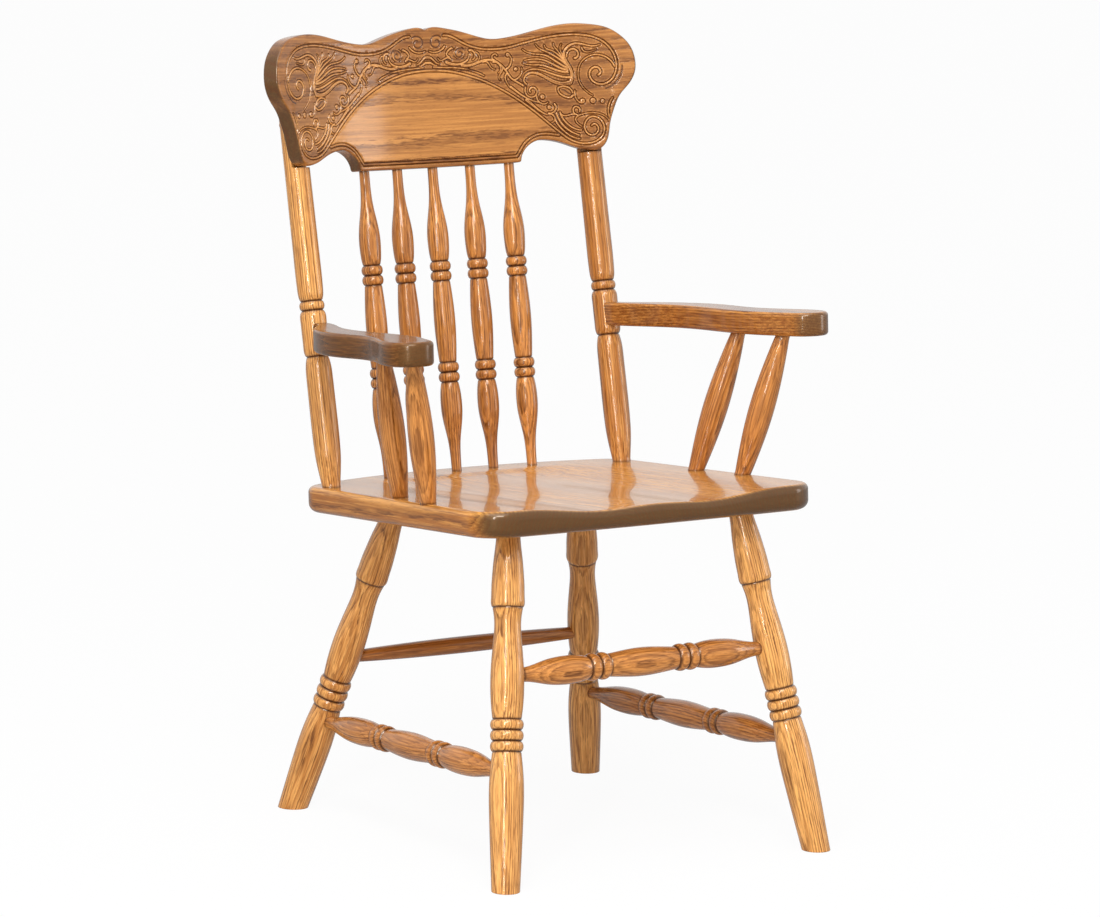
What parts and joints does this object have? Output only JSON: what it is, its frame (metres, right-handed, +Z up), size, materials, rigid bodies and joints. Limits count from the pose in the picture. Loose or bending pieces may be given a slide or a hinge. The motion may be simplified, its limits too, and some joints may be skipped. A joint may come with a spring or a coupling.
{
  "type": "press back armchair",
  "caption": "Oak press back armchair with a bent, scalloped crest rail, turned posts, spindles, legs and stretchers, shaped arms and a saddled plank seat.",
  "frame": {"origin": "on the floor under the middle of the chair's bounding box", "axes": "+Z up, -Y the way the chair faces, +X to the right as seen from the front"},
  "size_m": [0.6782, 0.6554, 1.0405],
  "materials": {
    "oak_seat": "gloss varnish",
    "oak_crest": "gloss varnish",
    "oak_arm": "gloss varnish",
    "oak_turned": "gloss varnish",
    "oak_plug": "gloss varnish",
    "screw_steel": "plain"
  },
  "bodies": {
    "root": {"seat": "oak_seat", "crest_rail": "oak_crest", "arm_left": "oak_arm", "arm_right": "oak_arm", "leg_front_left": "oak_turned", "leg_front_right": "oak_turned", "leg_back_left": "oak_turned", "leg_back_right": "oak_turned", "stretcher_front": "oak_turned", "stretcher_back": "oak_turned", "stretcher_left": "oak_turned", "stretcher_right": "oak_turned", "post_left": "oak_turned", "post_right": "oak_turned", "spindle_1": "oak_turned", "spindle_2": "oak_turned", "spindle_3": "oak_turned", "spindle_4": "oak_turned", "spindle_5": "oak_turned", "arm_spindle_left_front": "oak_turned", "arm_spindle_left_rear": "oak_turned", "arm_spindle_right_front": "oak_turned", "arm_spindle_right_rear": "oak_turned", "plugs_left": "oak_plug", "plugs_right": "oak_plug", "screws_left": "screw_steel", "screws_right": "screw_steel"}
  },
  "joints": []
}
